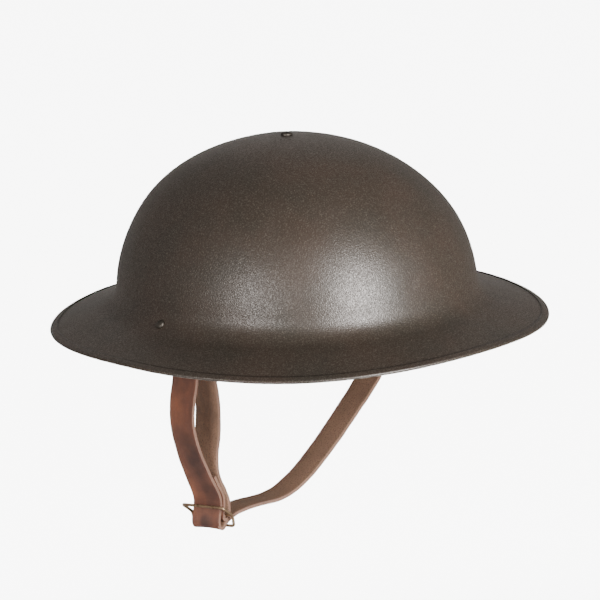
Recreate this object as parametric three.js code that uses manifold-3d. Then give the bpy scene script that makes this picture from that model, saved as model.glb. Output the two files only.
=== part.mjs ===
// A broad-brimmed steel trench helmet with a folded rim strip, riveted bails and a leather chin strap.
// Millimetres, +Z up, the front of the helmet towards -Y. The origin is the centre of the head opening,
// at the level where the crown and the brim meet.

import * as THREE from 'three';
import { mergeVertices } from 'three/addons/utils/BufferGeometryUtils.js';
import Module from 'manifold-3d';

// Driving dimensions of the steel shell
const RIM_LENGTH = 305;
const RIM_WIDTH = 292;
const RIM_DROP = 14.7;
const RIM_WAVE = 1.3;
const CROWN_LENGTH = 225;
const CROWN_WIDTH = 209;
const CROWN_HEIGHT = 97;
const PROFILE_POWER = 2.1;
const PLAN_POWER = 2.1;
const FILLET_REACH = 12;
const STEEL = 1.0;

// Driving dimensions of the folded rim strip
const STRIP = 0.4;
const STRIP_LEG = 5.3;
const STRIP_GAP = 0.2;

// Driving dimensions of the rivets and the bails
const CROWN_RIVET = { head: 3.6, dome: 1.6, shank: 1.8 };
const SIDE_RIVET = { head: 2.8, dome: 1.4, shank: 1.5 };
const RIVET_GAP = 0.3;
const RIVET_SEAT = 0.5;
const LUG = { width: 12, height: 12, thickness: 1.4, hinge: 4.8 };
const BAIL_WIRE = 1.2;
const BAIL_BAR = { x: 87.5, z: -12, half: 14, neck: 5, bend: 3 };

// Driving dimensions of the chin strap and its slide
const STRAP_WIDTH = 20;
const STRAP_THICK = 2;
const STRAP_EDGE = 0.4;
const WRAP_GAP = 0.3;
const SLIDE_WIRE = 0.8;
const SLIDE_HALF = 15;
const SLIDE_SHIFT = -0.9;
const SLIDE_BEND = 2;
const SLIDE_YAW = 12.5;
const SLIDE_ROLL = 3.5;
const SLIDE_BARS = {
  front: { x: -82.8, z: -116.2 },
  middle: { x: -75.2, z: -122.6 },
  back: { x: -74.3, z: -129.6 },
};

// How finely round things are divided
const ROUND = 64;
const RIVET_ROUND = 16;
const WIRE_ROUND = 8;

const wasm = await Module();
wasm.setup();

const rimRadius = (RIM_LENGTH + RIM_WIDTH) / 4;
const crownRadius = (CROWN_LENGTH + CROWN_WIDTH) / 4;
const degrees = THREE.MathUtils.degToRad;

// Joining and cutting closed meshes
function toSolid(geometry) {
  const bare = geometry.clone();
  bare.deleteAttribute('normal');
  bare.deleteAttribute('uv');
  const merged = mergeVertices(bare, 1e-3);
  const mesh = new wasm.Mesh({
    numProp: 3,
    vertProperties: new Float32Array(merged.attributes.position.array),
    triVerts: new Uint32Array(merged.index.array),
  });
  return new wasm.Manifold(mesh);
}

function toGeometry(solid) {
  const mesh = solid.getMesh();
  const geometry = new THREE.BufferGeometry();
  geometry.setAttribute('position', new THREE.Float32BufferAttribute(mesh.vertProperties, 3));
  geometry.setIndex(Array.from(mesh.triVerts));
  return geometry;
}

// A skin over rings of points, closed by end caps or back onto its first ring
function skin(rings, closed) {
  const count = rings[0].length;
  const positions = rings.flat().flatMap((point) => point.toArray());
  const triangles = [];
  const spans = closed ? rings.length : rings.length - 1;
  for (let i = 0; i < spans; i++) {
    const here = i * count;
    const next = ((i + 1) % rings.length) * count;
    for (let j = 0; j < count; j++) {
      const k = (j + 1) % count;
      triangles.push(here + j, here + k, next + k, here + j, next + k, next + j);
    }
  }
  const last = (rings.length - 1) * count;
  for (let j = 1; !closed && j < count - 1; j++) {
    triangles.push(0, j + 1, j, last, last + j, last + j + 1);
  }
  const geometry = new THREE.BufferGeometry();
  geometry.setAttribute('position', new THREE.Float32BufferAttribute(positions, 3));
  geometry.setIndex(triangles);
  return geometry;
}

// A round wire bent at each corner of a closed run, whose section is squared to an up direction
function towards(from, to, distance) {
  return from.clone().addScaledVector(to.clone().sub(from).normalize(), distance);
}

function wireLoop(corners, bend, radius, up) {
  const BEND_STEPS = 4;
  const points = corners.flatMap((spot, i) => {
    const enter = towards(spot, corners.at(i - 1), bend);
    const leave = towards(spot, corners[(i + 1) % corners.length], bend);
    return new THREE.QuadraticBezierCurve3(enter, spot, leave).getPoints(BEND_STEPS);
  });
  const rings = points.map((centre, i) => {
    const along = points[(i + 1) % points.length].clone().sub(points.at(i - 1)).normalize();
    const side = new THREE.Vector3().crossVectors(up, along).normalize();
    const top = new THREE.Vector3().crossVectors(along, side);
    const ring = [];
    for (let j = 0; j < WIRE_ROUND; j++) {
      const turn = (2 * Math.PI * j) / WIRE_ROUND;
      const spoke = side.clone().multiplyScalar(radius * Math.cos(turn));
      ring.push(spoke.addScaledVector(top, radius * Math.sin(turn)).add(centre));
    }
    return ring;
  });
  return skin(rings, true);
}

// The oval plan: a lathe radius becomes a rounded oval, longer from front to back
function ovalAxes(radius) {
  if (radius <= crownRadius) {
    const part = radius / crownRadius;
    return { x: (part * CROWN_WIDTH) / 2, y: (part * CROWN_LENGTH) / 2 };
  }
  const part = (radius - crownRadius) / (rimRadius - crownRadius);
  return {
    x: THREE.MathUtils.lerp(CROWN_WIDTH / 2, RIM_WIDTH / 2, part),
    y: THREE.MathUtils.lerp(CROWN_LENGTH / 2, RIM_LENGTH / 2, part),
  };
}

function ovalPoint(radius, height, angle) {
  const c = Math.cos(angle);
  const s = Math.sin(angle);
  const reach = (Math.abs(c) ** PLAN_POWER + Math.abs(s) ** PLAN_POWER) ** (-1 / PLAN_POWER);
  const axes = ovalAxes(radius);
  const brimPart = Math.max(0, (radius - crownRadius) / (rimRadius - crownRadius));
  const wave = RIM_WAVE * brimPart ** 2 * Math.cos(4 * angle);
  return new THREE.Vector3(axes.x * reach * c, axes.y * reach * s, height + wave);
}

function ovalLathe(profile) {
  const geometry = new THREE.LatheGeometry(profile, ROUND);
  geometry.rotateX(Math.PI / 2);
  const position = geometry.attributes.position;
  for (let i = 0; i < position.count; i++) {
    const radius = Math.hypot(position.getX(i), position.getY(i));
    const angle = Math.atan2(position.getY(i), position.getX(i));
    const point = ovalPoint(radius, position.getZ(i), angle);
    position.setXYZ(i, point.x, point.y, point.z);
  }
  return geometry;
}

// The outer line of the shell, from the top of the crown to the edge of the brim
const corner = new THREE.Vector2(crownRadius, 0);
const rimEdge = new THREE.Vector2(rimRadius, -RIM_DROP);
const brimOut = rimEdge.clone().sub(corner).normalize();
const brimUp = new THREE.Vector2(-brimOut.y, brimOut.x);

function crownPoint(turn) {
  const radius = crownRadius * Math.sin(turn) ** (2 / PROFILE_POWER);
  const height = CROWN_HEIGHT * Math.cos(turn) ** (2 / PROFILE_POWER);
  return new THREE.Vector2(radius, height);
}

const filletTurn = Math.acos((FILLET_REACH / CROWN_HEIGHT) ** (PROFILE_POWER / 2));
const filletEnd = corner.clone().addScaledVector(brimOut, FILLET_REACH);
const fillet = new THREE.QuadraticBezierCurve(crownPoint(filletTurn), corner, filletEnd);

function outerLine(edgeCut) {
  const CROWN_ROWS = 13;
  const FILLET_ROWS = 4;
  const BRIM_ROWS = 3;
  const line = [];
  for (let i = 0; i < CROWN_ROWS; i++) {
    line.push(crownPoint((filletTurn * i) / CROWN_ROWS));
  }
  line.push(...fillet.getPoints(FILLET_ROWS));
  const edge = rimEdge.clone().addScaledVector(brimOut, -edgeCut);
  for (let i = 1; i <= BRIM_ROWS; i++) {
    line.push(filletEnd.clone().lerp(edge, i / BRIM_ROWS));
  }
  return line;
}

// The same line pushed inwards by the steel's thickness
function innerLine(outer) {
  return outer.map((point, i) => {
    const before = outer[Math.max(i - 1, 0)];
    const after = outer[Math.min(i + 1, outer.length - 1)];
    const along = after.clone().sub(before).normalize();
    const inner = point.clone().add(new THREE.Vector2(along.y, -along.x).multiplyScalar(STEEL));
    return i === 0 ? new THREE.Vector2(0, CROWN_HEIGHT - STEEL) : inner;
  });
}

// A frame on the fillet, at the height of the side rivets: +Z of the frame points out of the steel
function sideFrame(side) {
  const PART_WAY = 0.55;
  const spot = fillet.getPoint(PART_WAY);
  const along = fillet.getTangent(PART_WAY);
  const place = ovalPoint(spot.x, spot.y, 0);
  const out = new THREE.Vector3(-along.y * side, 0, along.x);
  const across = new THREE.Vector3(0, 1, 0);
  const third = new THREE.Vector3().crossVectors(across, out);
  const frame = new THREE.Matrix4().makeBasis(third, across, out);
  return frame.setPosition(place.x * side, 0, place.z);
}

function hole(radius, length) {
  const drill = new THREE.CylinderGeometry(radius, radius, length, RIVET_ROUND);
  return drill.rotateX(Math.PI / 2);
}

function shellGeometry() {
  const edgeCut = STRIP + STRIP_GAP;
  const outer = outerLine(edgeCut);
  const inner = innerLine(outer);
  const profile = [...inner, ...outer.reverse()];
  const bowl = toSolid(ovalLathe(profile));
  const DRILL = 12;
  const top = hole(CROWN_RIVET.shank + RIVET_GAP, DRILL).translate(0, 0, CROWN_HEIGHT);
  const sides = [-1, 1].map((side) => {
    return toSolid(hole(SIDE_RIVET.shank + RIVET_GAP, DRILL).applyMatrix4(sideFrame(side)));
  });
  return toGeometry(bowl.subtract(toSolid(top)).subtract(sides[0]).subtract(sides[1]));
}

// The rim strip is a narrow band folded over the edge of the brim
function rimGeometry() {
  const ROUND_ROWS = 6;
  const slot = STEEL / 2 + STRIP_GAP;
  const outside = slot + STRIP;
  const middle = rimEdge.clone().addScaledVector(brimUp, -STEEL / 2);
  const at = (inwards, up) => {
    return middle.clone().addScaledVector(brimOut, -inwards).addScaledVector(brimUp, up);
  };
  const section = [at(STRIP_LEG, slot), at(STRIP_LEG, outside)];
  for (let i = 0; i <= ROUND_ROWS; i++) {
    const turn = (Math.PI * i) / ROUND_ROWS;
    section.push(at(outside * (1 - Math.sin(turn)), outside * Math.cos(turn)));
  }
  section.push(at(STRIP_LEG, -outside), at(STRIP_LEG, -slot), at(STRIP, -slot), at(STRIP, slot));
  section.reverse();
  section.push(section[0].clone());
  return ovalLathe(section);
}

// A domed rivet: its head is outside the steel and its spread tail is inside
function rivetGeometry(rivet, grip) {
  const DOME_ROWS = 5;
  const TAIL = 0.9;
  const profile = [
    new THREE.Vector2(0, -grip - TAIL),
    new THREE.Vector2(rivet.head, -grip - TAIL),
    new THREE.Vector2(rivet.head, -grip),
    new THREE.Vector2(rivet.shank, -grip),
    new THREE.Vector2(rivet.shank, RIVET_SEAT),
  ];
  for (let i = 0; i <= DOME_ROWS; i++) {
    const turn = (Math.PI * i) / (2 * DOME_ROWS);
    profile.push(new THREE.Vector2(rivet.head * Math.cos(turn), RIVET_SEAT + rivet.dome * Math.sin(turn)));
  }
  profile[profile.length - 1].x = 0;
  return new THREE.LatheGeometry(profile, RIVET_ROUND).rotateX(Math.PI / 2);
}

// A bail is a lug on the inner face of the steel with a wire loop that reaches in to carry the strap
const lugTop = -STEEL - 2 * RIVET_GAP;
const lugBottom = lugTop - LUG.thickness;

function bailGeometry(side) {
  const frame = sideFrame(side);
  const lug = new THREE.BoxGeometry(LUG.height, LUG.width, LUG.thickness);
  lug.translate(0, 0, (lugTop + lugBottom) / 2);
  const drilled = toSolid(lug).subtract(toSolid(hole(SIDE_RIVET.shank + RIVET_GAP, LUG.height)));
  const foot = new THREE.Vector3(LUG.hinge * side, 0, lugBottom).applyMatrix4(frame);
  const bar = new THREE.Vector3(BAIL_BAR.x * side, 0, BAIL_BAR.z);
  const corners = [
    foot.clone().setY(-BAIL_BAR.neck),
    foot.clone().setY(BAIL_BAR.neck),
    bar.clone().setY(BAIL_BAR.half),
    bar.clone().setY(-BAIL_BAR.half),
  ];
  const up = bar.clone().sub(foot).cross(new THREE.Vector3(0, 1, 0)).normalize();
  const loop = toSolid(wireLoop(corners, BAIL_BAR.bend, BAIL_WIRE, up));
  const placed = toSolid(toGeometry(drilled).applyMatrix4(frame));
  return toGeometry(placed.add(loop));
}

// The chin strap is one strip. Its route starts at the square-cut end above the slide, turns round the
// slide's middle bar, climbs to the near bail, comes down again as the outer layer, bows out round the
// middle bar inside the two outer bars, and crosses to the far bail, where its other end folds back.
const ROUTE = [
  { x: -82.5, z: -96.8, yaw: 9, roll: 2 },
  { x: -80.0, z: -103, yaw: 11, roll: 3 },
  { x: -77.7, z: -108, yaw: 12, roll: 3.5 },
  { x: -76.6, z: -113, yaw: 12.5, roll: 3.5 },
  { x: -77.0, z: -118, yaw: 12.5, roll: 3.5 },
  { round: SLIDE_BARS.middle, bar: SLIDE_WIRE, from: 180, to: 360, yaw: SLIDE_YAW, roll: SLIDE_ROLL },
  { x: -73.0, z: -117.8, yaw: 12.5, roll: 3.5 },
  { x: -73.1, z: -114, yaw: 12.5, roll: 3.5 },
  { x: -75.0, z: -108, yaw: 12, roll: 3.5 },
  { x: -77.3, z: -102.4, yaw: 11, roll: 3 },
  { x: -79.3, z: -96, yaw: 9, roll: 2 },
  { x: -79.2, z: -85, yaw: 6, roll: 1 },
  { x: -76.3, z: -71, yaw: 3, roll: 0 },
  { x: -75.1, z: -56, yaw: 1, roll: 0 },
  { x: -76.3, z: -40, yaw: 0, roll: 0 },
  { x: -80.6, z: -24, yaw: 0, roll: 0 },
  { round: { x: -BAIL_BAR.x, z: BAIL_BAR.z }, bar: BAIL_WIRE, from: 0, to: 180, yaw: 0, roll: 0 },
  { x: -90.2, z: -22, yaw: 1, roll: 0 },
  { x: -91.2, z: -34, yaw: 3, roll: 0 },
  { x: -94.0, z: -46, yaw: 3, roll: 0 },
  { x: -95.6, z: -60, yaw: 1, roll: 0 },
  { x: -93.6, z: -73, yaw: 3, roll: 0 },
  { x: -90.2, z: -84.3, yaw: 6, roll: 1 },
  { x: -85.6, z: -96, yaw: 9, roll: 2 },
  { x: -82.6, z: -103, yaw: 11, roll: 3 },
  { x: -80.4, z: -108, yaw: 12, roll: 3.5 },
  { x: -79.2, z: -113, yaw: 12.5, roll: 3.5 },
  { x: -79.4, z: -117.6, yaw: 12.5, roll: 3.5 },
  { x: -80.6, z: -122.4, yaw: 12.5, roll: 3.5 },
  { x: -81.3, z: -126, yaw: 12.5, roll: 3.5 },
  { x: -80.4, z: -129.2, yaw: 12.5, roll: 3.5 },
  { x: -78.0, z: -129.5, yaw: 12.5, roll: 3.5 },
  { x: -75.1, z: -127.1, yaw: 12.5, roll: 3.5 },
  { x: -68.6, z: -124.2, yaw: 9, roll: 3.5 },
  { x: -60, z: -122.8, yaw: 5, roll: 3.5 },
  { x: -45, z: -122.8, yaw: 0, roll: 4 },
  { x: -31, z: -123.4, yaw: -2, roll: 4 },
  { x: -20, z: -122, yaw: -3, roll: 4.5 },
  { x: -6.5, z: -116.5, yaw: -3.5, roll: 4.5 },
  { x: 13, z: -103.7, yaw: -3.5, roll: 4.5 },
  { x: 36.5, z: -84.5, yaw: -3, roll: 3.5 },
  { x: 56, z: -67, yaw: -2, roll: 2 },
  { x: 72.5, z: -47, yaw: -1, roll: 1 },
  { x: 83, z: -29, yaw: 0, roll: 0 },
  { x: 88.8, z: -17.5, yaw: 0, roll: 0 },
  { round: { x: BAIL_BAR.x, z: BAIL_BAR.z }, bar: BAIL_WIRE, from: 0, to: 180, yaw: 0, roll: 0 },
  { x: 83.8, z: -17.5, yaw: 0, roll: 0 },
  { x: 79.4, z: -27, yaw: 0, roll: 0 },
  { x: 73.6, z: -37, yaw: 0, roll: 0 },
];

// Every station of the route, with a turn round a bar worked out as an arc
function routeStations() {
  const ARC_STEPS = 6;
  return ROUTE.flatMap((row) => {
    if (!row.round) {
      return [row];
    }
    const radius = row.bar + WRAP_GAP + STRAP_THICK / 2;
    const arc = [];
    for (let i = 0; i <= ARC_STEPS; i++) {
      const turn = degrees(THREE.MathUtils.lerp(row.from, row.to, i / ARC_STEPS));
      const x = row.round.x + radius * Math.cos(turn);
      arc.push({ x, z: row.round.z + radius * Math.sin(turn), yaw: row.yaw, roll: row.roll });
    }
    return arc;
  });
}

// The direction across a strip whose width lies along Y, turned by a yaw and tipped by a roll
function acrossStrip(yaw, roll) {
  const turned = new THREE.Vector3(Math.sin(degrees(yaw)), -Math.cos(degrees(yaw)), 0);
  return turned.add(new THREE.Vector3(0, 0, Math.tan(degrees(roll)))).normalize();
}

function strapGeometry() {
  const STEPS_PER_SPAN = 2;
  const stations = routeStations();
  const path = new THREE.CatmullRomCurve3(
    stations.map((row) => new THREE.Vector3(row.x, 0, row.z)), false, 'centripetal',
  );
  const half = STRAP_WIDTH / 2;
  const deep = STRAP_THICK / 2;
  const section = [
    [-half, -deep + STRAP_EDGE], [-half + STRAP_EDGE, -deep],
    [half - STRAP_EDGE, -deep], [half, -deep + STRAP_EDGE],
    [half, deep - STRAP_EDGE], [half - STRAP_EDGE, deep],
    [-half + STRAP_EDGE, deep], [-half, deep - STRAP_EDGE],
  ];
  const spans = stations.length - 1;
  const rings = [];
  for (let i = 0; i <= spans * STEPS_PER_SPAN; i++) {
    const place = i / STEPS_PER_SPAN;
    const row = Math.min(Math.floor(place), spans - 1);
    const lean = (key) => THREE.MathUtils.lerp(stations[row][key], stations[row + 1][key], place - row);
    const centre = path.getPoint(place / spans);
    const along = path.getTangent(place / spans);
    const across = acrossStrip(lean('yaw'), lean('roll'));
    across.addScaledVector(along, -across.dot(along)).normalize();
    const thick = new THREE.Vector3().crossVectors(along, across);
    rings.push(section.map(([w, t]) => {
      return centre.clone().addScaledVector(across, w).addScaledVector(thick, t);
    }));
  }
  return skin(rings, false);
}

// The slide is a bent wire frame with a bar across its middle
function slideGeometry() {
  const across = acrossStrip(SLIDE_YAW, SLIDE_ROLL);
  const at = (bar, along) => {
    return new THREE.Vector3(bar.x, 0, bar.z).addScaledVector(across, along + SLIDE_SHIFT);
  };
  const { front, middle, back } = SLIDE_BARS;
  const corners = [
    at(front, -SLIDE_HALF), at(front, SLIDE_HALF), at(middle, SLIDE_HALF),
    at(back, SLIDE_HALF), at(back, -SLIDE_HALF), at(middle, -SLIDE_HALF),
  ];
  const up = at(back, 0).sub(at(front, 0)).cross(across).normalize();
  const frame = toSolid(wireLoop(corners, SLIDE_BEND, SLIDE_WIRE, up));
  const bar = new THREE.CylinderGeometry(SLIDE_WIRE, SLIDE_WIRE, 2 * SLIDE_HALF, WIRE_ROUND);
  bar.applyQuaternion(new THREE.Quaternion().setFromUnitVectors(new THREE.Vector3(0, 1, 0), across));
  const seat = at(middle, 0);
  bar.translate(seat.x, seat.y, seat.z);
  return toGeometry(frame.add(toSolid(bar)));
}

// Materials
const paint = new THREE.MeshStandardMaterial({ color: 0x4a4238, roughness: 0.62, metalness: 0.15 });
const wornSteel = new THREE.MeshStandardMaterial({ color: 0x8d867a, roughness: 0.45, metalness: 0.8 });
const agedBrass = new THREE.MeshStandardMaterial({ color: 0x9c7d4f, roughness: 0.4, metalness: 0.85 });
const leather = new THREE.MeshStandardMaterial({ color: 0x6b463a, roughness: 0.55, metalness: 0 });

// Assembly
const helmet = new THREE.Group();

function addPiece(name, geometry, material) {
  const mesh = new THREE.Mesh(geometry, material);
  mesh.name = name;
  helmet.add(mesh);
  return mesh;
}

addPiece('shell', shellGeometry(), paint);
addPiece('rim_strip', rimGeometry(), paint);
addPiece('crown_rivet', rivetGeometry(CROWN_RIVET, STEEL + RIVET_GAP), wornSteel).position.z = CROWN_HEIGHT;

const SIDES = [{ name: 'right', side: -1 }, { name: 'left', side: 1 }];
for (const { name, side } of SIDES) {
  const rivet = rivetGeometry(SIDE_RIVET, RIVET_GAP - lugBottom);
  addPiece(`side_rivet_${name}`, rivet.applyMatrix4(sideFrame(side)), wornSteel);
  addPiece(`bail_${name}`, bailGeometry(side), wornSteel);
}

addPiece('chin_strap', strapGeometry(), leather);
addPiece('strap_slide', slideGeometry(), agedBrass);

export default helmet;
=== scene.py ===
# %% [markdown]
# # A broad-brimmed steel helmet with a leather chin strap
# The helmet is already modelled as plain solids, and they are the frame of this lesson. Each piece is made
# again here in the same place and at the same size, with the detail that the eye looks for.

# %% Load the frame
import math

import bpy
from mathutils import Matrix, Vector, noise


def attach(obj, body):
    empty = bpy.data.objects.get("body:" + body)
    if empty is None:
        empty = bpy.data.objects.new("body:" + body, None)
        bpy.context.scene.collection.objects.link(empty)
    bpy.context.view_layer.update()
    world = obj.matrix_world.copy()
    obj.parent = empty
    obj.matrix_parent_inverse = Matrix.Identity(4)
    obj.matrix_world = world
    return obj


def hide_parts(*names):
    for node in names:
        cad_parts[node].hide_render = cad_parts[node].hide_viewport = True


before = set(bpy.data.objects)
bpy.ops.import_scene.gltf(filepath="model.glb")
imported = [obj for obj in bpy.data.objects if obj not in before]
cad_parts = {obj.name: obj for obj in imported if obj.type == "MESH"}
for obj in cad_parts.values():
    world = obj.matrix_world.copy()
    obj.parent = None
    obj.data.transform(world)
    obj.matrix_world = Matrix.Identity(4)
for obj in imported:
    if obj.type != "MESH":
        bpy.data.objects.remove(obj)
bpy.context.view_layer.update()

print("solids in the frame:", sorted(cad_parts))

# %% [markdown]
# ## The camera
# The helmet was photographed with a long lens from its right front, a little above the brim, and the brim
# tips slightly to the left in the picture. We could turn the helmet to match, but a part stays square in its
# own frame. So the camera is turned instead: we work out its right, up and back directions and build its
# rotation from them.

# %% Camera
MM = 0.001
CAMERA = {"turn": -42.0, "rise": 13.57, "roll": 2.62, "distance": 1800, "lens": 177.5}
CAMERA_AIM = Vector((0.6, -2.15, -4.95)) * MM

turn = math.radians(CAMERA["turn"])
rise = math.radians(CAMERA["rise"])
roll = math.radians(CAMERA["roll"])
level_right = Vector((math.cos(turn), math.sin(turn), 0))
camera_back = Vector((math.sin(turn) * math.cos(rise), -math.cos(turn) * math.cos(rise), math.sin(rise)))
camera_up = camera_back.cross(level_right) * math.cos(roll) + level_right * math.sin(roll)
camera_right = camera_up.cross(camera_back)

bpy.ops.object.camera_add(location=CAMERA_AIM + camera_back * CAMERA["distance"] * MM)
camera = bpy.context.object
camera.rotation_euler = Matrix((camera_right, camera_up, camera_back)).transposed().to_euler()
camera.data.lens = CAMERA["lens"]
camera.data.clip_end = 60
bpy.context.scene.camera = camera
print("camera stands at", [round(value, 3) for value in camera.location])

# %% [markdown]
# ## Studio light and floor
# The picture was lit as goods for a catalogue are: a softbox on each side of the camera, the right one taller
# and brighter, and a pale, slightly warm surround. The two make the bright patches low on the crown. A faint
# backdrop shows in the far ends of the brim, and a wide light over the floor behind the helmet washes the
# background white. Area lights give such soft edges, and each one is placed by its angle round the helmet
# and turned to face it. The floor is kept out of the reflections, so that the edges of the crown stay dark.

# %% Lights
FLOOR_LEVEL = -0.6
FLOOR_WASH = {"behind": 3.6, "above": 1.5, "width": 3.2, "depth": 5.6, "power": 480, "spread": 40}
WARM_WHITE = (1.0, 0.93, 0.88)
SURROUND = 0.36


def softbox(name, around, above, distance, size, power):
    around = math.radians(around)
    above = math.radians(above)
    level = math.cos(above)
    facing = Vector((math.sin(around) * level, -math.cos(around) * level, math.sin(above)))
    bpy.ops.object.light_add(type="AREA", location=facing * distance)
    lamp = bpy.context.object
    lamp.name = name
    lamp.rotation_euler = facing.to_track_quat("Z", "Y").to_euler()
    lamp.data.shape = "RECTANGLE"
    lamp.data.size = size[0]
    lamp.data.size_y = size[1]
    lamp.data.energy = power
    return lamp


softbox("right_softbox", -6, 6, 2.2, (0.6, 2.0), 190)
softbox("left_softbox", -77, 11, 2.4, (0.9, 1.0), 44)
backdrop = softbox("backdrop", 138, 24, 2.6, (1.2, 2.4), 2.4)
backdrop.visible_camera = False
backdrop.data.color = WARM_WHITE

wash_place = Vector((-math.sin(turn), math.cos(turn), 0)) * FLOOR_WASH["behind"]
wash_place.z = FLOOR_LEVEL + FLOOR_WASH["above"]
bpy.ops.object.light_add(type="AREA", location=wash_place, rotation=(0, 0, turn))
floor_wash = bpy.context.object
floor_wash.name = "floor_wash"
floor_wash.data.shape = "RECTANGLE"
floor_wash.data.size = FLOOR_WASH["width"]
floor_wash.data.size_y = FLOOR_WASH["depth"]
floor_wash.data.energy = FLOOR_WASH["power"]
floor_wash.data.spread = math.radians(FLOOR_WASH["spread"])
floor_wash.visible_camera = False

studio = bpy.data.worlds.new("studio")
studio.use_nodes = True
studio.node_tree.nodes["Background"].inputs["Color"].default_value = (*WARM_WHITE, 1.0)
studio.node_tree.nodes["Background"].inputs["Strength"].default_value = SURROUND
bpy.context.scene.world = studio

# %% Floor
bpy.ops.mesh.primitive_plane_add(size=24, location=(0, 0, FLOOR_LEVEL))
floor = bpy.context.object
floor.name = "studio_floor"
pale = bpy.data.materials.new("pale_floor")
pale.use_nodes = True
pale.node_tree.nodes["Principled BSDF"].inputs["Base Color"].default_value = (0.95, 0.95, 0.95, 1.0)
pale.node_tree.nodes["Principled BSDF"].inputs["Roughness"].default_value = 0.9
floor.data.materials.append(pale)
floor.visible_glossy = False
print("floor at", FLOOR_LEVEL, "m")

# %% [markdown]
# ## The oval of the helmet
# A soldier's helmet follows the head, so it is longer than it is wide, and its brim dips a little at the four
# quarters between front, sides and back. A lathe can only make round things. So every round piece is spun
# first, and then each of its points is moved from the circle to the oval at the same angle. One function does
# this for the shell and for the strip round its edge, so the two always fit. Pressed steel is never quite
# even: the crown leans back to the right by a millimetre and a half, the brim is pulled out a little at the
# front left, and all of it wanders by a fifth of a millimetre, which keeps the reflections alive. The wander
# comes from a noise with a set seed, so it is the same each time.

# %% Oval and unevenness
RIM_LENGTH = 305
RIM_WIDTH = 292
RIM_DROP = 14.7
RIM_WAVE = 1.3
CROWN_LENGTH = 225
CROWN_WIDTH = 209
CROWN_HEIGHT = 97
PLAN_POWER = 2.1
FRONT_LEFT = Vector((0.743, -0.669, 0))
CROWN_LEAN = -1.55
LEAN_FROM = 38
LEAN_OVER = 46
BRIM_PULL = 1.2
WANDER = 0.2
WANDER_SIZE = 48
WANDER_SEED = 7

noise.seed_set(WANDER_SEED)
rim_radius = (RIM_LENGTH + RIM_WIDTH) / 4
crown_radius = (CROWN_LENGTH + CROWN_WIDTH) / 4


def oval_point(radius, height, angle):
    c = math.cos(angle)
    s = math.sin(angle)
    reach = (abs(c) ** PLAN_POWER + abs(s) ** PLAN_POWER) ** (-1 / PLAN_POWER)
    inner = min(radius / crown_radius, 1)
    outer = max(0, (radius - crown_radius) / (rim_radius - crown_radius))
    half_width = inner * CROWN_WIDTH / 2 + outer * (RIM_WIDTH - CROWN_WIDTH) / 2
    half_length = inner * CROWN_LENGTH / 2 + outer * (RIM_LENGTH - CROWN_LENGTH) / 2
    wave = RIM_WAVE * outer ** 2 * math.cos(4 * angle)
    return Vector((half_width * reach * c, half_length * reach * s, height + wave))


def ease(part):
    part = min(max(part, 0), 1)
    return part * part * (3 - 2 * part)


def settled(point):
    reach = math.hypot(point.x, point.y)
    brim_part = ease((reach - crown_radius) / (rim_radius - crown_radius))
    front_left = max(0, point.dot(FRONT_LEFT) / max(reach, 1))
    shift = CROWN_LEAN * ease((point.z - LEAN_FROM) / LEAN_OVER) + BRIM_PULL * brim_part * front_left
    return point + FRONT_LEFT * shift + noise.noise_vector(point / WANDER_SIZE) * WANDER


def make_oval(piece):
    for vertex in piece.data.vertices:
        x, y, z = vertex.co / MM
        vertex.co = settled(oval_point(math.hypot(x, y), z, math.atan2(y, x))) * MM
    piece.data.update()


print("rim", RIM_WIDTH, "by", RIM_LENGTH, "mm, crown", CROWN_WIDTH, "by", CROWN_LENGTH, "mm")

# %% [markdown]
# ## Drawing a line and spinning it
# The shell, its strip and the rivets are all round, so each is drawn as a line on one side of the axis and
# spun about it. By hand we would add a plane, merge it to a single point, and extrude that point from place
# to place. These two helpers do just that. After the spin the doubled points of the seam and the pole are
# merged, and only then are the normals made to point out.

# %% Draw and spin
def nothing_selected():
    if bpy.context.mode != "OBJECT":
        bpy.ops.object.mode_set(mode="OBJECT")
    bpy.ops.object.select_all(action="DESELECT")


def draw_line(name, points):
    nothing_selected()
    bpy.ops.mesh.primitive_plane_add(size=MM)
    piece = bpy.context.object
    piece.name = name
    bpy.ops.object.mode_set(mode="EDIT")
    bpy.ops.mesh.select_all(action="SELECT")
    bpy.ops.mesh.merge(type="CENTER")
    bpy.ops.transform.translate(value=points[0] * MM)
    for here, there in zip(points, points[1:]):
        step = (there - here) * MM
        bpy.ops.mesh.extrude_region_move(TRANSFORM_OT_translate={"value": step})
    return piece


def spin_round(piece, steps):
    bpy.ops.mesh.select_all(action="SELECT")
    bpy.ops.mesh.spin(steps=steps, angle=2 * math.pi, center=(0, 0, 0), axis=(0, 0, 1))
    bpy.ops.mesh.select_all(action="SELECT")
    bpy.ops.mesh.remove_doubles(threshold=0.002 * MM)
    bpy.ops.mesh.normals_make_consistent(inside=False)
    bpy.ops.object.mode_set(mode="OBJECT")
    print(piece.name, "spun:", len(piece.data.polygons), "faces")


def smooth(piece, degrees):
    nothing_selected()
    piece.select_set(True)
    bpy.context.view_layer.objects.active = piece
    bpy.ops.object.shade_smooth_by_angle(angle=math.radians(degrees))


# %% [markdown]
# ## The shell
# The real bowl is one sheet of manganese steel, pressed in a single stroke: a domed crown, a soft fillet
# and a brim that slopes gently down. Sculpting would give lumps, and a sphere has the wrong line. So we draw
# its true section, from the top of the crown to the edge, spin it, move it to the oval, and give it a
# millimetre of steel on the inside with Solidify.

# %% Shell section
PROFILE_POWER = 2.1
FILLET_REACH = 12
RIVET_PART = 0.55
STEEL = 1.0
EDGE_CUT = 0.6


def crown_spot(angle):
    radius = crown_radius * math.sin(angle) ** (2 / PROFILE_POWER)
    height = CROWN_HEIGHT * math.cos(angle) ** (2 / PROFILE_POWER)
    return Vector((radius, 0, height))


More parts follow.
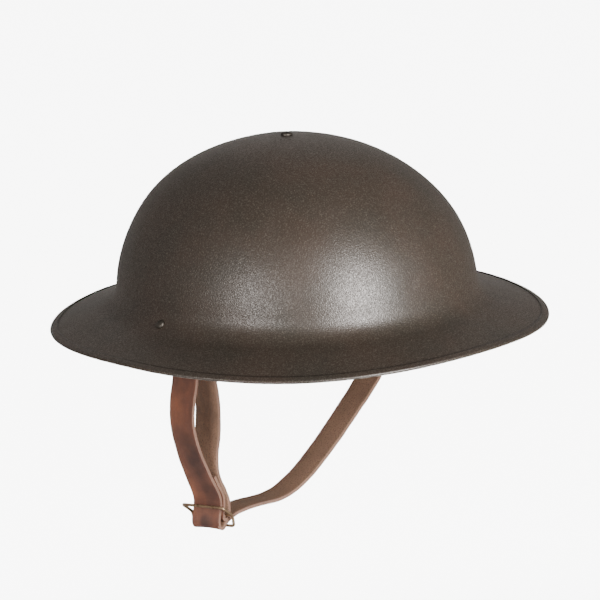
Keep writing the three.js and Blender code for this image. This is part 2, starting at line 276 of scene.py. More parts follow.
corner = Vector((crown_radius, 0, 0))
rim_edge = Vector((rim_radius, 0, -RIM_DROP))
brim_out = (rim_edge - corner).normalized()
brim_up = Vector((-brim_out.z, 0, brim_out.x))
fillet_turn = math.acos((FILLET_REACH / CROWN_HEIGHT) ** (PROFILE_POWER / 2))
fillet_start = crown_spot(fillet_turn)
fillet_end = corner + brim_out * FILLET_REACH


def fillet_spot(part):
    first = fillet_start.lerp(corner, part)
    second = corner.lerp(fillet_end, part)
    return first.lerp(second, part)


def shell_section(crown_rows, fillet_rows, brim_rows):
    section = [crown_spot(fillet_turn * row / crown_rows) for row in range(crown_rows)]
    section += [fillet_spot(row / fillet_rows) for row in range(fillet_rows + 1)]
    edge = rim_edge - brim_out * EDGE_CUT
    section += [fillet_end.lerp(edge, (row + 1) / brim_rows) for row in range(brim_rows)]
    return section


section = shell_section(46, 14, 12)
print("shell section:", len(section), "points")

# %% Shell
ROUND_STEPS = 192

shell = draw_line("pressed_shell", section)
spin_round(shell, ROUND_STEPS)
if shell.data.polygons[0].normal.z < 0:
    shell.data.flip_normals()
make_oval(shell)


def give_thickness(piece, thickness, offset):
    nothing_selected()
    piece.select_set(True)
    bpy.context.view_layer.objects.active = piece
    wall = piece.modifiers.new("wall", "SOLIDIFY")
    wall.thickness = thickness
    wall.offset = offset
    wall.use_even_offset = True
    bpy.ops.object.modifier_apply(modifier=wall.name)


give_thickness(shell, STEEL * MM, -1)
smooth(shell, 50)
print("shell:", len(shell.data.polygons), "faces")

# %% [markdown]
# ## The rim strip
# The raw edge of the brim is covered by a narrow strip of steel, folded over it like a hem. Its inner edge
# stands a little proud and throws a thin dark line round the brim, which a band of painted shade along it
# deepens. An array of small plates would show joints, so the hooked section of the strip is drawn and spun as
# the shell was. Two attributes then speak to the material: one says where the fold has rubbed bare and where
# a painted highlight stands in for the floor's reflection, most just under its outermost turn, and the other
# says where painted shade lies along the inner edge.

# %% Rim strip
STRIP = 0.4
STRIP_GAP = 0.2
STRIP_LEG = 5.3

slot_half = STEEL / 2 + STRIP_GAP
strip_half = slot_half + STRIP
edge_middle = rim_edge - brim_up * STEEL / 2


def strip_spot(inwards, upwards):
    return edge_middle - brim_out * inwards + brim_up * upwards


upper_leg = [(STRIP, 0), (STRIP, slot_half), (STRIP_LEG - 1.5, slot_half), (STRIP_LEG, slot_half - 0.1)]
upper_leg += [(STRIP_LEG, strip_half - 0.3), (STRIP_LEG - 0.2, strip_half - 0.1)]
upper_leg += [(STRIP_LEG - 1.1, strip_half), (STRIP_LEG - 1.8, strip_half)]
fold = []
for row in range(9):
    bend = math.pi * row / 8
    fold.append((strip_half * (1 - math.sin(bend)), strip_half * math.cos(bend)))
lower_leg = [(inwards, -upwards) for inwards, upwards in reversed(upper_leg)]
hem = [strip_spot(*spot) for spot in upper_leg + fold + lower_leg]

rim_strip = draw_line("folded_rim", hem)
spin_round(rim_strip, ROUND_STEPS)

# %% Bare metal with a painted highlight, and painted shade
BARE_AND_SHEEN_MIDDLE = 35
BARE_AND_SHEEN_REACH = 40
SEAM_SHADE_WIDTH = 1.6
SEAM_SHADE_FADE = 1.2

bare_and_sheen = rim_strip.data.attributes.new("bare_and_sheen", "FLOAT", "POINT")
seam_shade = rim_strip.data.attributes.new("seam_shade", "FLOAT", "POINT")
for vertex, mark, seam_shading in zip(rim_strip.data.vertices, bare_and_sheen.data, seam_shade.data):
    radius = math.hypot(vertex.co.x, vertex.co.y) / MM
    from_edge = Vector((radius, 0, vertex.co.z / MM)) - edge_middle
    outwards = from_edge.dot(brim_out) + strip_half
    below = math.degrees(math.atan2(-from_edge.dot(brim_up), max(outwards, 0.01)))
    # steel rubbed bare on the fold, which is also a painted highlight for the floor's reflection under its
    # outermost turn
    mark.value = ease(1 - abs(below - BARE_AND_SHEEN_MIDDLE) / BARE_AND_SHEEN_REACH) if outwards > 0 else 0
    # painted shade along the inner edge of the strip
    seam_shading.value = ease((-from_edge.dot(brim_out) - STRIP_LEG + SEAM_SHADE_WIDTH) / SEAM_SHADE_FADE)
make_oval(rim_strip)
smooth(rim_strip, 40)
print("rim strip:", len(rim_strip.data.polygons), "faces")

# %% [markdown]
# ## The rivets
# A domed rivet closes the hole at the top of the crown, and one at each side holds a bail. A sphere sunk in
# the steel would do from far away, but a real head is low, has a slightly flattened top and meets the steel
# at a small step. So we draw that line and spin it. The side rivet is modelled once and copied, each with
# its own mesh.

# %% Crown rivet
CROWN_RIVET = {"head": 3.6, "dome": 1.6, "shank": 1.8, "grip": 1.3}
SIDE_RIVET = {"head": 2.8, "dome": 1.4, "shank": 1.5, "grip": 3.3}
RIVET_SEAT = 0.5
RIVET_TAIL = 0.9


def rivet_section(rivet):
    rows = 10
    line = []
    for row in range(rows + 1):
        rise_turn = math.pi / 2 * row / rows
        radius = rivet["head"] * math.sin(rise_turn)
        line.append(Vector((radius, 0, RIVET_SEAT + rivet["dome"] * math.cos(rise_turn) ** 0.85)))
    line.append(Vector((rivet["head"], 0, 0.1)))
    line.append(Vector((rivet["head"] - 0.25, 0, -0.15)))
    line.append(Vector((rivet["shank"], 0, -0.15)))
    line.append(Vector((rivet["shank"], 0, -rivet["grip"])))
    line.append(Vector((rivet["head"], 0, -rivet["grip"])))
    line.append(Vector((rivet["head"], 0, -rivet["grip"] - RIVET_TAIL + 0.3)))
    line.append(Vector((rivet["head"] - 0.5, 0, -rivet["grip"] - RIVET_TAIL)))
    line.append(Vector((0, 0, -rivet["grip"] - RIVET_TAIL)))
    return line


crown_rivet = draw_line("crown_rivet_head", rivet_section(CROWN_RIVET))
spin_round(crown_rivet, 48)
crown_rivet.data.transform(Matrix.Translation(settled(Vector((0, 0, CROWN_HEIGHT))) * MM))
smooth(crown_rivet, 45)

# %% Side rivets
fillet_slope = (fillet_spot(RIVET_PART + 0.01) - fillet_spot(RIVET_PART - 0.01)).normalized()
rivet_spot = fillet_spot(RIVET_PART)
rivet_place = oval_point(rivet_spot.x, rivet_spot.z, 0)


def side_frame(side):
    out = Vector((-fillet_slope.z * side, 0, fillet_slope.x))
    across = Vector((0, 1, 0))
    third = across.cross(out)
    turned = Matrix((third, across, out)).transposed().to_4x4()
    return Matrix.Translation(Vector((rivet_place.x * side, 0, rivet_place.z)) * MM) @ turned


side_rivet = draw_line("side_rivet_right_head", rivet_section(SIDE_RIVET))
spin_round(side_rivet, 40)
smooth(side_rivet, 45)
nothing_selected()
side_rivet.select_set(True)
bpy.context.view_layer.objects.active = side_rivet
bpy.ops.object.duplicate()
other_rivet = bpy.context.object
other_rivet.name = "side_rivet_left_head"
side_rivet.data.transform(side_frame(-1))
other_rivet.data.transform(side_frame(1))
print("rivets:", crown_rivet.name, side_rivet.name, other_rivet.name)

# %% [markdown]
# ## The bails
# Behind each side rivet a small steel lug carries a wire loop, and the strap hangs from the loop. The wire
# could be a swept pipe of extruded rings, but a bent wire is easier: its corners are rounded in a line, the
# line becomes a curve with a bevel depth, and the curve is made a mesh again. The lug is a cube with its
# edges bevelled.

# %% Bent wire
def rounded_corners(corners, bend, rows):
    line = []
    for index, spot in enumerate(corners):
        before = corners[index - 1]
        after = corners[(index + 1) % len(corners)]
        enter = spot + (before - spot).normalized() * bend
        leave = spot + (after - spot).normalized() * bend
        for row in range(rows + 1):
            part = row / rows
            line.append(enter.lerp(spot, part).lerp(spot.lerp(leave, part), part))
    return line + [line[0]]


def bent_wire(name, line, radius):
    piece = draw_line(name, line)
    bpy.ops.mesh.select_all(action="SELECT")
    bpy.ops.mesh.remove_doubles(threshold=0.002 * MM)
    bpy.ops.object.mode_set(mode="OBJECT")
    bpy.ops.object.convert(target="CURVE")
    piece = bpy.context.object
    piece.data.bevel_depth = radius * MM
    piece.data.bevel_resolution = 4
    piece.data.use_fill_caps = True
    bpy.ops.object.convert(target="MESH")
    piece = bpy.context.object
    smooth(piece, 50)
    return piece


def join_pieces(first, second):
    nothing_selected()
    first.select_set(True)
    second.select_set(True)
    bpy.context.view_layer.objects.active = first
    bpy.ops.object.join()
    return first


# %% Bails
LUG = {"size": 12, "thick": 1.4, "hinge": 4.8, "top": -1.6}
BAIL = {"wire": 1.2, "bar_x": 87.5, "bar_z": -12, "half": 14, "neck": 5, "bend": 3}


def make_bail(name, side):
    nothing_selected()
    lug_size = (LUG["size"] * MM, LUG["size"] * MM, LUG["thick"] * MM)
    lug_place = (0, 0, (LUG["top"] - LUG["thick"] / 2) * MM)
    bpy.ops.mesh.primitive_cube_add(size=1, location=lug_place, scale=lug_size)
    lug = bpy.context.object
    lug.name = name
    bpy.ops.object.transform_apply(location=True, rotation=False, scale=True)
    bpy.ops.object.mode_set(mode="EDIT")
    bpy.ops.mesh.select_all(action="SELECT")
    bpy.ops.mesh.bevel(offset=0.4 * MM, segments=3)
    bpy.ops.object.mode_set(mode="OBJECT")
    smooth(lug, 50)
    lug.data.transform(side_frame(side))
    foot = side_frame(side) @ (Vector((LUG["hinge"] * side, 0, LUG["top"] - LUG["thick"])) * MM) / MM
    bar = Vector((BAIL["bar_x"] * side, 0, BAIL["bar_z"]))
    neck = Vector((0, BAIL["neck"], 0))
    half = Vector((0, BAIL["half"], 0))
    corners = [foot - neck, foot + neck, bar + half, bar - half]
    wire = bent_wire(name + "_wire", rounded_corners(corners, BAIL["bend"], 6), BAIL["wire"])
    bail = join_pieces(lug, wire)
    print(bail.name, len(bail.data.polygons), "faces")
    return bail


bail_right = make_bail("bail_right_wire", -1)
bail_left = make_bail("bail_left_wire", 1)

# %% [markdown]
# ## The chin strap
# The strap is one long strip of leather. Its end turns round the slide's hidden middle bar, climbs to the
# near bail, comes down again as the outer layer, bows out round the slide and crosses to the far bail. We
# cut the strip flat at its real length, as a saddler does, and then lay it along that route. A short table
# gives the route: where the strip passes, and how it is turned and tipped there.

# %% Strap route
STRAP_WIDTH = 20
STRAP_THICK = 2
WRAP_GAP = 0.3
SLIDE_WIRE = 0.8
SLIDE = {"front": (-82.8, -116.2), "middle": (-75.2, -122.6), "back": (-74.3, -129.6)}
NEAR_BAR = (-BAIL["bar_x"], BAIL["bar_z"])
FAR_BAR = (BAIL["bar_x"], BAIL["bar_z"])


def round_bar(bar, wire, first, last, yaw, tip):
    radius = wire + WRAP_GAP + STRAP_THICK / 2
    stations = []
    for step in range(7):
        angle = math.radians(first + (last - first) * step / 6)
        stations.append((bar[0] + radius * math.cos(angle), bar[1] + radius * math.sin(angle), yaw, tip))
    return stations


INNER_LAYER = [
    (-82.5, -96.8, 9, 2), (-80.0, -103, 11, 3), (-77.7, -108, 12, 3.5),
    (-76.6, -113, 12.5, 3.5), (-77.0, -118, 12.5, 3.5),
    *round_bar(SLIDE["middle"], SLIDE_WIRE, 180, 360, 12.5, 3.5),
    (-73.0, -117.8, 12.5, 3.5), (-73.1, -114, 12.5, 3.5), (-75.0, -108, 12, 3.5),
    (-77.3, -102.4, 11, 3), (-79.3, -96, 9, 2), (-79.2, -85, 6, 1), (-76.3, -71, 3, 0),
    (-75.1, -56, 1, 0), (-76.3, -40, 0, 0), (-80.6, -24, 0, 0),
]
OUTER_LAYER = [
    *round_bar(NEAR_BAR, BAIL["wire"], 0, 180, 0, 0),
    (-90.2, -22, 1, 0), (-91.2, -34, 3, 0), (-94.0, -46, 3, 0), (-95.6, -60, 1, 0),
    (-93.6, -73, 3, 0), (-90.2, -84.3, 6, 1), (-85.6, -96, 9, 2), (-82.6, -103, 11, 3),
    (-80.4, -108, 12, 3.5), (-79.2, -113, 12.5, 3.5), (-79.4, -117.6, 12.5, 3.5),
    (-80.6, -122.4, 12.5, 3.5), (-81.3, -126, 12.5, 3.5), (-80.4, -129.2, 12.5, 3.5),
    (-78.0, -129.5, 12.5, 3.5), (-75.1, -127.1, 12.5, 3.5),
]
FAR_CROSSING = [
    (-68.6, -124.2, 9, 3.5), (-60, -122.8, 5, 3.5), (-45, -122.8, 0, 4), (-31, -123.4, -2, 4),
    (-20, -122, -3, 4.5), (-6.5, -116.5, -3.5, 4.5), (13, -103.7, -3.5, 4.5), (36.5, -84.5, -3, 3.5),
    (56, -67, -2, 2), (72.5, -47, -1, 1), (83, -29, 0, 0), (88.8, -17.5, 0, 0),
    *round_bar(FAR_BAR, BAIL["wire"], 0, 180, 0, 0),
    (83.8, -17.5, 0, 0), (79.4, -27, 0, 0), (73.6, -37, 0, 0),
]
route = INNER_LAYER + OUTER_LAYER + FAR_CROSSING
print("strap route:", len(route), "stations")

# %% [markdown]
# A smooth path runs through the stations. At each station the path heads along a mean of the two chords that
# meet there, the shorter one counting for more, so that tight turns stay tight. Between two stations it
# follows the cubic that has those headings at its ends.

# %% Smooth path
SPAN_STEPS = 8

centres = [Vector((x, 0, z)) for x, z, yaw, tip in route]
chords = [there - here for here, there in zip(centres, centres[1:])]
lengths = [chord.length for chord in chords]
headings = [chords[0].normalized()]
for before, after, near, far in zip(chords, chords[1:], lengths, lengths[1:]):
    headings.append((before / near * far + after / far * near) / (near + far))
headings.append(chords[-1].normalized())


def across_strip(yaw, tip, along):
    yaw = math.radians(yaw)
    width_line = Vector((math.sin(yaw), -math.cos(yaw), math.tan(math.radians(tip))))
    return (width_line - along * width_line.dot(along)).normalized()


def path_spot(place):
    span = min(int(place), len(chords) - 1)
    part = place - span
    reach = lengths[span]
    square = part * part
    cube = square * part
    spot = centres[span] * (2 * cube - 3 * square + 1) + centres[span + 1] * (3 * square - 2 * cube)
    spot += headings[span] * reach * (cube - 2 * square + part)
    spot += headings[span + 1] * reach * (cube - square)
    slope = (centres[span + 1] - centres[span]) * (6 * part - 6 * square)
    slope += headings[span] * reach * (3 * square - 4 * part + 1)
    slope += headings[span + 1] * reach * (3 * square - 2 * part)
    along = slope.normalized()
    yaw = route[span][2] * (1 - part) + route[span + 1][2] * part
    tip = route[span][3] * (1 - part) + route[span + 1][3] * part
    return spot, along, across_strip(yaw, tip, along)


columns = len(chords) * SPAN_STEPS
laid = [path_spot(column / SPAN_STEPS) for column in range(columns + 1)]
run = [0.0]
for here, there in zip(laid, laid[1:]):
    run.append(run[-1] + (there[0] - here[0]).length)
print("strap length:", round(run[-1], 1), "mm")

# %% [markdown]
# The strip itself is a grid: one column for each step of the path and fourteen rows across. Its UV map keeps
# the flat cut in metres, so the grain of the leather keeps its scale round every bend. Then each point is
# carried to its place on the path. Worn leather is not ruler-straight: the edges waver by up to a fifth of a
# millimetre, and the surface has shallow swells.

# %% Cut and lay the strap
STRAP_ROWS = 14
EDGE_WAVER = {"height": 0.18, "length": 9}
SWELL = {"height": 0.12, "length": 7, "across": 1.6}

nothing_selected()
bpy.ops.mesh.primitive_grid_add(x_subdivisions=columns, y_subdivisions=STRAP_ROWS, size=1)
strap = bpy.context.object
strap.name = "leather_strap"
flat_cut = strap.data.uv_layers.active.data


def column_of(vertex):
    return min(max(round((vertex.co.x + 0.5) * columns), 0), columns)


for loop in strap.data.loops:
    vertex = strap.data.vertices[loop.vertex_index]
    flat_cut[loop.index].uv = (run[column_of(vertex)] * MM, vertex.co.y * STRAP_WIDTH * MM)

flat_places = [(column_of(vertex), vertex.co.y * 2) for vertex in strap.data.vertices]
for vertex, (column, part) in zip(strap.data.vertices, flat_places):
    spot, along, across = laid[column]
    thick = along.cross(across)
    waver_place = Vector((run[column] / EDGE_WAVER["length"], round(part), 3.0))
    waver = EDGE_WAVER["height"] * noise.noise(waver_place) * abs(part)
    swell_place = Vector((run[column] / SWELL["length"], part * SWELL["across"], 8.0))
    swell = SWELL["height"] * noise.noise(swell_place)
    vertex.co = (spot + across * (part * STRAP_WIDTH / 2 + waver) + thick * swell) * MM
strap.data.update()
print("strap cut:", round(run[-1]), "by", STRAP_WIDTH, "mm")

# %% [markdown]
# A strap wears where it is handled. Some places go dark from hands and sweat, and some are rubbed back to
# tan. We could paint them with noise alone, but then they would fall anywhere. So a short table says where
# they are on the outer layer, by height and by place across the strip, and two attributes carry them to the
# finishes. The inner layer, where it lies behind the outer layer, is given painted shade that deepens upward
# from just above the slide, carried by the same attribute as the dark stains.

# %% Where the strap is worn, and where shade is painted
WEAR = [
    {"mark": "stain_and_shade", "height": -27, "across": 0.5, "tall": 10, "wide": 0.8, "amount": 0.55},
    {"mark": "stain_and_shade", "height": -84, "across": 0.3, "tall": 22, "wide": 1.0, "amount": 0.85},
    {"mark": "stain_and_shade", "height": -108, "across": 0.4, "tall": 12, "wide": 0.9, "amount": 0.75},
    {"mark": "stain_and_shade", "height": -127, "across": 0.05, "tall": 6, "wide": 0.6, "amount": 0.95},
    {"mark": "rubbed", "height": -55, "across": -0.6, "tall": 13, "wide": 0.9, "amount": 0.9},
    {"mark": "rubbed", "height": -101, "across": -0.95, "tall": 14, "wide": 0.5, "amount": 0.9},
    {"mark": "rubbed", "height": -124, "across": -0.75, "tall": 8, "wide": 0.5, "amount": 0.8},
]
INNER_SHADE = {"amount": 0.6, "from": -95, "over": 35}
WEAR_FADE = 1.3

outer_first = len(INNER_LAYER) * SPAN_STEPS
outer_last = outer_first + len(OUTER_LAYER) * SPAN_STEPS


def marks_at(mark, column, height, part):
    # the inner layer gets painted shade, deepening upward where it lies behind the outer layer
    if column < outer_first and mark == "stain_and_shade":
        return INNER_SHADE["amount"] * ease((height - INNER_SHADE["from"]) / INNER_SHADE["over"])
    if column < outer_first or column > outer_last:
        return 0
    worn = 0
    for row in WEAR:
        if row["mark"] == mark:
            away = math.hypot((height - row["height"]) / row["tall"], (part - row["across"]) / row["wide"])
            worn = max(worn, row["amount"] * ease(WEAR_FADE - away))
    return worn


stain_and_shade = strap.data.attributes.new("stain_and_shade", "FLOAT", "POINT")
rubbed = strap.data.attributes.new("rubbed", "FLOAT", "POINT")
for vertex, (column, part) in enumerate(flat_places):
    height = laid[column][0].z
    stain_and_shade.data[vertex].value = marks_at("stain_and_shade", column, height, part)
    rubbed.data[vertex].value = marks_at("rubbed", column, height, part)
print("worn places:", len(WEAR))

# %% Strap thickness
strap_wall = strap.modifiers.new("leather", "SOLIDIFY")
strap_wall.thickness = STRAP_THICK * MM
strap_wall.offset = 0
strap_wall.material_offset = 1
strap_wall.material_offset_rim = 2
strap_round = strap.modifiers.new("worn_corners", "BEVEL")
strap_round.width = 0.35 * MM
strap_round.segments = 3
strap_round.limit_method = "ANGLE"
strap_round.angle_limit = math.radians(60)
print("strap walls:", STRAP_THICK, "mm")

# %% [markdown]
# ## The slide
# The strap is fastened to itself by a slide of bent brass wire: a frame whose sides are bent at the middle,
# with a third bar across the bend that the leather hides. It is bent in the same way as the bails. The frame
# shows as a slightly thicker wire than its solid, by about a tenth of a millimetre all round.

# %% Slide
BRASS_WIRE = 0.92
SLIDE_FRAME = {"half": 15, "shift": -0.9, "bend": 2, "yaw": 12.5, "tip": 3.5}

slide_across = across_strip(SLIDE_FRAME["yaw"], SLIDE_FRAME["tip"], Vector((0, 0, 0)))


def slide_spot(bar, end):
    x, z = SLIDE[bar]
    return Vector((x, 0, z)) + slide_across * (SLIDE_FRAME["half"] * end + SLIDE_FRAME["shift"])


slide_corners = [slide_spot("front", -1), slide_spot("front", 1), slide_spot("middle", 1)]
slide_corners += [slide_spot("back", 1), slide_spot("back", -1), slide_spot("middle", -1)]
slide = bent_wire("brass_slide", rounded_corners(slide_corners, SLIDE_FRAME["bend"], 6), BRASS_WIRE)
middle_bar = bent_wire("middle_bar", [slide_spot("middle", -1), slide_spot("middle", 1)], SLIDE_WIRE)
slide = join_pieces(slide, middle_bar)
print("slide:", len(slide.data.polygons), "faces")

# %% [markdown]
# ## Helpers for the finishes
# Every finish is a small tree of nodes on the piece's own coordinates, so it stays put from any side. These
# helpers add a node, a field of noise, a change of range, a sum, a blend of two colours and a bump.

# %% Node helpers
def new_finish(name):
    finish = bpy.data.materials.new(name)
    finish.use_nodes = True
    return finish, finish.node_tree, finish.node_tree.nodes["Principled BSDF"]


def add_node(tree, kind, values=None, **settings):
    made = tree.nodes.new("ShaderNode" + kind)
    for key, value in settings.items():
        setattr(made, key, value)
    for key, value in (values or {}).items():
        made.inputs[key].default_value = value
    return made


def noise_field(tree, place, scale, detail=2.0, rough=0.5):
    field = add_node(tree, "TexNoise", {"Scale": scale, "Detail": detail, "Roughness": rough})
    tree.links.new(place, field.inputs["Vector"])
    return field.outputs["Fac"]


def spread(tree, source, low, high, to_low=0.0, to_high=1.0):
    limits = {"From Min": low, "From Max": high, "To Min": to_low, "To Max": to_high}
    made = add_node(tree, "MapRange", limits)
    tree.links.new(source, made.inputs["Value"])
    return made.outputs["Result"]


def combine(tree, operation, first, second):
    made = add_node(tree, "Math", operation=operation)
    for socket, value in zip(made.inputs, (first, second)):
        if isinstance(value, (int, float)):
            socket.default_value = value
        else:
            tree.links.new(value, socket)
    return made.outputs["Value"]


def blend_colours(tree, share, first, second):
    made = add_node(tree, "Mix", data_type="RGBA")
    tree.links.new(share, made.inputs["Factor"])
    for socket, value in zip((made.inputs[6], made.inputs[7]), (first, second)):
        if isinstance(value, tuple):
            socket.default_value = (*value, 1.0)
        else:
            tree.links.new(value, socket)
    return made.outputs[2]


def bump(tree, shader, height, strength, distance):
    made = add_node(tree, "Bump", {"Strength": strength, "Distance": distance})
    tree.links.new(height, made.inputs["Height"])
    tree.links.new(made.outputs["Normal"], shader.inputs["Normal"])


def surface_place(tree):
    return add_node(tree, "TexCoord").outputs["Object"]


print("node helpers ready")

# %% [markdown]
# ## Sanded paint
# The shell was painted a dull olive brown, with sand thrown on the wet paint so that it would not shine. Age
# has polished it to a soft gloss and browned it in patches. The grains are under a millimetre, so they are
# material and not geometry. Bump alone would make ripples, so the noise of the grains also moves the colour,
# the roughness and the shine: the top of each grain is dusty and catches the light.

# %% Paint
OLIVE = (0.0135, 0.0105, 0.0068)
WARM_BROWN = (0.0215, 0.0132, 0.0083)
DUST = (0.056, 0.047, 0.036)


def sanded_paint(name):
    finish, tree, shader = new_finish(name)
    place = surface_place(tree)
    patches = spread(tree, noise_field(tree, place, 22, 4, 0.6), 0.35, 0.68)
    grains = noise_field(tree, place, 1300, 1, 0.5)
    coarse = noise_field(tree, place, 560, 1, 0.5)
    colour = blend_colours(tree, patches, OLIVE, WARM_BROWN)
    dusty = spread(tree, grains, 0.55, 0.76, 0, 0.8)
    colour = blend_colours(tree, dusty, colour, DUST)
    tree.links.new(colour, shader.inputs["Base Color"])
    gloss = spread(tree, noise_field(tree, place, 60, 3, 0.6), 0.3, 0.7, 0.41, 0.47)
    gloss = combine(tree, "ADD", gloss, spread(tree, grains, 0.3, 0.7, 0.08, -0.08))
    tree.links.new(gloss, shader.inputs["Roughness"])
    height = combine(tree, "ADD", grains, combine(tree, "MULTIPLY", coarse, 0.4))
    bump(tree, shader, height, 0.5, 0.0003)
    shine = spread(tree, grains, 0.32, 0.68, 0.45, 0.85)
    tree.links.new(shine, shader.inputs["Specular IOR Level"])
    shader.inputs["Specular Tint"].default_value = (1.0, 0.95, 0.92, 1.0)
    return finish, tree, shader, colour, shine


paint = sanded_paint("sanded_paint")[0]
shell.data.materials.append(paint)
print("finish:", paint.name)

# %% [markdown]
# ## Rim paint
# The strip has the same paint, but the fold has been knocked and rubbed for a century, so pale steel shows
# along the edge, where its attribute says, broken up by a noise. Under the fold the same pale band is also a
# painted highlight in place of the floor's reflection. Along the inner edge, painted shade darkens the paint
# and takes away its shine.

# %% Rim paint
PALE_STEEL_AND_SHEEN = (0.30, 0.27, 0.24)
SEAM_SHADE_COLOUR = (0.013, 0.010, 0.007)

rim_paint, tree, shader, colour, shine = sanded_paint("rim_paint")
bare_and_sheen_node = add_node(tree, "Attribute", attribute_name="bare_and_sheen")
patchy = spread(tree, noise_field(tree, surface_place(tree), 120, 4, 0.7), 0.42, 0.66)
share = combine(tree, "MULTIPLY", bare_and_sheen_node.outputs["Fac"], patchy)
# pale steel where the fold is rubbed, which also serves as a painted highlight for the floor's reflection
colour = blend_colours(tree, share, colour, PALE_STEEL_AND_SHEEN)
# painted shade along the inner edge: darker paint with less shine
seam_shade_node = add_node(tree, "Attribute", attribute_name="seam_shade")
tree.links.new(blend_colours(tree, seam_shade_node.outputs["Fac"], colour, SEAM_SHADE_COLOUR), shader.inputs["Base Color"])
seam_shine_cut = spread(tree, seam_shade_node.outputs["Fac"], 0, 1, 1.0, 0.3)
tree.links.new(combine(tree, "MULTIPLY", shine, seam_shine_cut), shader.inputs["Specular IOR Level"])
rim_strip.data.materials.append(rim_paint)
print("finish:", rim_paint.name)

# %% [markdown]
# ## Worn steel
# The rivet heads are steel that has gone dark and brown: a metal whose colour and roughness follow one noise,
# between its brighter and its browned places. The bails and the brass of the slide are made in the same way.

# %% Worn steel
def aged_metal(name, bright, aged, scale, gloss):
    finish, tree, shader = new_finish(name)
    place = surface_place(tree)
    age = spread(tree, noise_field(tree, place, scale, 4, 0.65), 0.36, 0.64)
    tree.links.new(blend_colours(tree, age, bright, aged), shader.inputs["Base Color"])
    tree.links.new(spread(tree, age, 0, 1, *gloss), shader.inputs["Roughness"])
    shader.inputs["Metallic"].default_value = 0.9
    bump(tree, shader, noise_field(tree, place, scale * 3, 3, 0.6), 0.25, 0.0002)
    return finish


worn_steel = aged_metal("worn_steel", (0.085, 0.074, 0.064), (0.036, 0.030, 0.024), 420, (0.42, 0.60))
for rivet in (crown_rivet, side_rivet, other_rivet):
    rivet.data.materials.append(worn_steel)
bail_steel = aged_metal("bail_steel", (0.16, 0.145, 0.13), (0.075, 0.05, 0.035), 260, (0.40, 0.65))
for bail in (bail_right, bail_left):
    bail.data.materials.clear()
    bail.data.materials.append(bail_steel)
aged_brass = aged_metal("aged_brass", (0.38, 0.26, 0.16), (0.16, 0.10, 0.06), 300, (0.25, 0.48))
slide.data.materials.clear()
slide.data.materials.append(aged_brass)
print("finishes:", worn_steel.name, bail_steel.name, aged_brass.name)

# %% [markdown]
# ## Leather
# A strap has two faces and a cut edge, and each looks different. The hair side faces out: red-brown, smooth
# and a little glossy, streaked along its length and darker where it has been handled. On the inner layer,
# where it lies behind the outer layer, all three carry painted shade as well. The flesh side faces in: dull,
# paler and flecked with fibres. The cut edges lie between the two. Solidify gave each its own material slot,
# in that order, and all three read the flat cut of the strip.

# %% Leather helpers
def strip_place(tree, stretch):
    place = add_node(tree, "UVMap")
    turned = add_node(tree, "Mapping", {"Scale": stretch})
    tree.links.new(place.outputs["UV"], turned.inputs["Vector"])
    return turned.outputs["Vector"]


def leather_gloss(tree, shader, source, gloss, relief):
    tree.links.new(spread(tree, source, 0, 1, *gloss), shader.inputs["Roughness"])
    even = strip_place(tree, (1, 1, 1))
    grain = noise_field(tree, even, 1300, 3, 0.6)
    wrinkles = noise_field(tree, strip_place(tree, (1, 0.35, 1)), 330, 3, 0.6)
    height = combine(tree, "ADD", grain, combine(tree, "MULTIPLY", wrinkles, 0.8))
    bump(tree, shader, height, relief, 0.0003)


# %% Hair side
RED_BROWN = (0.088, 0.032, 0.0185)
TAN = (0.165, 0.055, 0.025)
HANDLED_AND_SHADED = (0.026, 0.0115, 0.0090)


# the share of a mark: real stains and rubbing, and painted shade on the inner layer
def mark_share(tree, mark, field, strength):
    place = add_node(tree, "Attribute", attribute_name=mark)
    broken = spread(tree, field, 0.3, 0.6, 0.45, 1.0)
    marked = combine(tree, "MULTIPLY", place.outputs["Fac"], broken)
    anywhere = combine(tree, "MULTIPLY", spread(tree, field, 0.45, 0.75), strength)
    return combine(tree, "MAXIMUM", marked, anywhere)


hair_side, tree, shader = new_finish("leather_hair_side")
even = strip_place(tree, (1, 1, 1))
mottle = noise_field(tree, even, 170, 5, 0.65)
clouds = noise_field(tree, even, 75, 4, 0.6)
streaks = noise_field(tree, strip_place(tree, (0.2, 1, 1)), 300, 3, 0.6)
streaked = combine(tree, "MULTIPLY", combine(tree, "ADD", mottle, streaks), 0.5)
tan_share = mark_share(tree, "rubbed", streaked, 0.55)
colour = blend_colours(tree, tan_share, RED_BROWN, TAN)
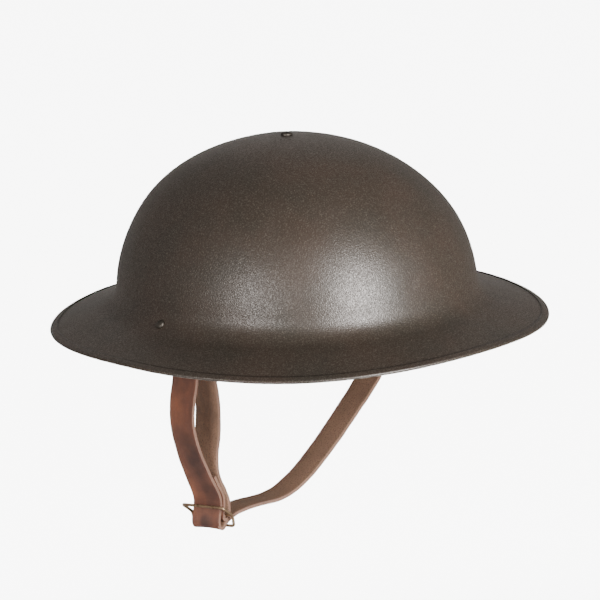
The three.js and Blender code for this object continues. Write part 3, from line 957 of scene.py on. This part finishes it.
# dark stains from handling, and painted shade on the inner layer
dark_share = mark_share(tree, "stain_and_shade", clouds, 0.6)
colour = blend_colours(tree, dark_share, colour, HANDLED_AND_SHADED)
tree.links.new(colour, shader.inputs["Base Color"])
leather_gloss(tree, shader, dark_share, (0.44, 0.54), 0.5)
print("finish:", hair_side.name)

# %% Flesh side and cut edge
def fibrous(name, fibre, fleck, scale, cover):
    finish, tree, shader = new_finish(name)
    even = strip_place(tree, (1, 1, 1))
    flecks = spread(tree, noise_field(tree, even, scale, 3, 0.7), *cover)
    dark_share = mark_share(tree, "stain_and_shade", noise_field(tree, even, 85, 3, 0.6), 0.4)
    colour = blend_colours(tree, combine(tree, "MAXIMUM", flecks, dark_share), fibre, fleck)
    tree.links.new(colour, shader.inputs["Base Color"])
    leather_gloss(tree, shader, flecks, (0.78, 0.92), 0.7)
    return finish


flesh_side = fibrous("leather_flesh_side", (0.225, 0.124, 0.076), (0.072, 0.041, 0.026), 900, (0.46, 0.72))
cut_edge = fibrous("leather_cut_edge", (0.125, 0.064, 0.041), (0.062, 0.030, 0.019), 800, (0.52, 0.68))
for finish in (hair_side, flesh_side, cut_edge):
    strap.data.materials.append(finish)
nothing_selected()
strap.select_set(True)
bpy.context.view_layer.objects.active = strap
bpy.ops.object.modifier_apply(modifier=strap_wall.name)
bpy.ops.object.modifier_apply(modifier=strap_round.name)
smooth(strap, 50)
print("strap:", len(strap.data.polygons), "faces")

# %% [markdown]
# ## Each piece in its place
# Every piece rides on the one body of the helmet and stands for its solid, which is hidden. The table also
# lists a finish slot for each piece, which nothing here reads.

# %% Hand over
HANDOVER = [
    (shell, "shell", "paint"),
    (rim_strip, "rim_strip", "rim_paint"),
    (crown_rivet, "crown_rivet", "worn_steel"),
    (side_rivet, "side_rivet_right", "worn_steel"),
    (other_rivet, "side_rivet_left", "worn_steel"),
    (bail_right, "bail_right", "bail_steel"),
    (bail_left, "bail_left", "bail_steel"),
    (strap, "chin_strap", "leather"),
    (slide, "strap_slide", "aged_brass"),
]
for piece, node, slot in HANDOVER:
    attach(piece, "root")
    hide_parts(node)
